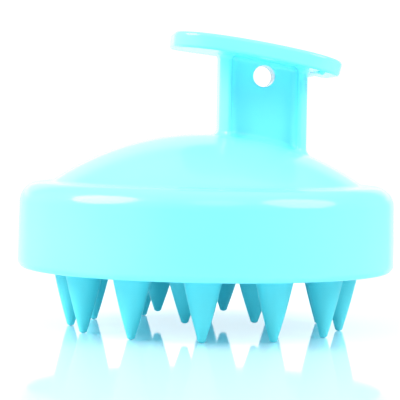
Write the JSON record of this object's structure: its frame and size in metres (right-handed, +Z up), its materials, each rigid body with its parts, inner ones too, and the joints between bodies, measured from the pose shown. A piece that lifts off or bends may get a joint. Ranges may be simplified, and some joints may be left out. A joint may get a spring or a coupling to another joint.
{
  "type": "scalp massager brush",
  "caption": "Round palm-held scalp massager: domed glossy body, waisted stem with a hanging hole and a curved finger plate over a soft pad of bending conical teeth.",
  "frame": {"origin": "on the axis of the round body, in the plane that the tips of the outer teeth stand on", "axes": "+Z up through the dome, +X along the finger plate towards its low end, Y along the hanging hole"},
  "size_m": [0.08, 0.08, 0.0629],
  "materials": {
    "shell": "glossy moulded ABS, light aqua",
    "base": "plain moulded plastic, off-white, hidden",
    "silicone": "satin silicone rubber, deeper aqua"
  },
  "bodies": {
    "handle": {"handle_shell": "shell", "base_plate": "base", "silicone_pad": "silicone"},
    "outer_tooth_01": {"outer_tooth_01": "silicone"},
    "outer_tooth_02": {"outer_tooth_02": "silicone"},
    "outer_tooth_03": {"outer_tooth_03": "silicone"},
    "outer_tooth_04": {"outer_tooth_04": "silicone"},
    "outer_tooth_05": {"outer_tooth_05": "silicone"},
    "outer_tooth_06": {"outer_tooth_06": "silicone"},
    "outer_tooth_07": {"outer_tooth_07": "silicone"},
    "outer_tooth_08": {"outer_tooth_08": "silicone"},
    "outer_tooth_09": {"outer_tooth_09": "silicone"},
    "outer_tooth_10": {"outer_tooth_10": "silicone"},
    "outer_tooth_11": {"outer_tooth_11": "silicone"},
    "outer_tooth_12": {"outer_tooth_12": "silicone"},
    "inner_tooth_01": {"inner_tooth_01": "silicone"},
    "inner_tooth_02": {"inner_tooth_02": "silicone"},
    "inner_tooth_03": {"inner_tooth_03": "silicone"},
    "inner_tooth_04": {"inner_tooth_04": "silicone"},
    "inner_tooth_05": {"inner_tooth_05": "silicone"},
    "inner_tooth_06": {"inner_tooth_06": "silicone"},
    "centre_tooth": {"centre_tooth": "silicone"}
  },
  "joints": [
    {"name": "outer_tooth_01_bend", "type": "hinge", "parent": "handle", "child": "outer_tooth_01", "pos_m": [-0.0025, -0.02859, 0.0107], "axis": [-0.9962, 0.0872, 0], "range_deg": [-15, 15], "stiffness_Nm_per_rad": 0.02},
    {"name": "outer_tooth_02_bend", "type": "hinge", "parent": "handle", "child": "outer_tooth_02", "pos_m": [0.01213, -0.02601, 0.0107], "axis": [-0.9063, -0.4226, 0], "range_deg": [-15, 15], "stiffness_Nm_per_rad": 0.02},
    {"name": "outer_tooth_03_bend", "type": "hinge", "parent": "handle", "child": "outer_tooth_03", "pos_m": [0.02351, -0.01646, 0.0107], "axis": [-0.5736, -0.8192, 0], "range_deg": [-15, 15], "stiffness_Nm_per_rad": 0.02},
    {"name": "outer_tooth_04_bend", "type": "hinge", "parent": "handle", "child": "outer_tooth_04", "pos_m": [0.02859, -0.0025, 0.0107], "axis": [-0.0872, -0.9962, 0], "range_deg": [-15, 15], "stiffness_Nm_per_rad": 0.02},
    {"name": "outer_tooth_05_bend", "type": "hinge", "parent": "handle", "child": "outer_tooth_05", "pos_m": [0.02601, 0.01213, 0.0107], "axis": [0.4226, -0.9063, 0], "range_deg": [-15, 15], "stiffness_Nm_per_rad": 0.02},
    {"name": "outer_tooth_06_bend", "type": "hinge", "parent": "handle", "child": "outer_tooth_06", "pos_m": [0.01646, 0.02351, 0.0107], "axis": [0.8192, -0.5736, 0], "range_deg": [-15, 15], "stiffness_Nm_per_rad": 0.02},
    {"name": "outer_tooth_07_bend", "type": "hinge", "parent": "handle", "child": "outer_tooth_07", "pos_m": [0.0025, 0.02859, 0.0107], "axis": [0.9962, -0.0872, 0], "range_deg": [-15, 15], "stiffness_Nm_per_rad": 0.02},
    {"name": "outer_tooth_08_bend", "type": "hinge", "parent": "handle", "child": "outer_tooth_08", "pos_m": [-0.01213, 0.02601, 0.0107], "axis": [0.9063, 0.4226, 0], "range_deg": [-15, 15], "stiffness_Nm_per_rad": 0.02},
    {"name": "outer_tooth_09_bend", "type": "hinge", "parent": "handle", "child": "outer_tooth_09", "pos_m": [-0.02351, 0.01646, 0.0107], "axis": [0.5736, 0.8192, 0], "range_deg": [-15, 15], "stiffness_Nm_per_rad": 0.02},
    {"name": "outer_tooth_10_bend", "type": "hinge", "parent": "handle", "child": "outer_tooth_10", "pos_m": [-0.02859, 0.0025, 0.0107], "axis": [0.0872, 0.9962, 0], "range_deg": [-15, 15], "stiffness_Nm_per_rad": 0.02},
    {"name": "outer_tooth_11_bend", "type": "hinge", "parent": "handle", "child": "outer_tooth_11", "pos_m": [-0.02601, -0.01213, 0.0107], "axis": [-0.4226, 0.9063, 0], "range_deg": [-15, 15], "stiffness_Nm_per_rad": 0.02},
    {"name": "outer_tooth_12_bend", "type": "hinge", "parent": "handle", "child": "outer_tooth_12", "pos_m": [-0.01646, -0.02351, 0.0107], "axis": [-0.8192, 0.5736, 0], "range_deg": [-15, 15], "stiffness_Nm_per_rad": 0.02},
    {"name": "inner_tooth_01_bend", "type": "hinge", "parent": "handle", "child": "inner_tooth_01", "pos_m": [-0.0051, -0.014, 0.0107], "axis": [-0.9397, 0.342, 0], "range_deg": [-15, 15], "stiffness_Nm_per_rad": 0.02},
    {"name": "inner_tooth_02_bend", "type": "hinge", "parent": "handle", "child": "inner_tooth_02", "pos_m": [0.00958, -0.01141, 0.0107], "axis": [-0.766, -0.6428, 0], "range_deg": [-15, 15], "stiffness_Nm_per_rad": 0.02},
    {"name": "inner_tooth_03_bend", "type": "hinge", "parent": "handle", "child": "inner_tooth_03", "pos_m": [0.01467, 0.00259, 0.0107], "axis": [0.1736, -0.9848, 0], "range_deg": [-15, 15], "stiffness_Nm_per_rad": 0.02},
    {"name": "inner_tooth_04_bend", "type": "hinge", "parent": "handle", "child": "inner_tooth_04", "pos_m": [0.0051, 0.014, 0.0107], "axis": [0.9397, -0.342, 0], "range_deg": [-15, 15], "stiffness_Nm_per_rad": 0.02},
    {"name": "inner_tooth_05_bend", "type": "hinge", "parent": "handle", "child": "inner_tooth_05", "pos_m": [-0.00958, 0.01141, 0.0107], "axis": [0.766, 0.6428, 0], "range_deg": [-15, 15], "stiffness_Nm_per_rad": 0.02},
    {"name": "inner_tooth_06_bend", "type": "hinge", "parent": "handle", "child": "inner_tooth_06", "pos_m": [-0.01467, -0.00259, 0.0107], "axis": [-0.1736, 0.9848, 0], "range_deg": [-15, 15], "stiffness_Nm_per_rad": 0.02},
    {"name": "centre_tooth_bend", "type": "hinge", "parent": "handle", "child": "centre_tooth", "pos_m": [0, 0, 0.0107], "axis": [0, -1, 0], "range_deg": [-15, 15], "stiffness_Nm_per_rad": 0.02}
  ]
}
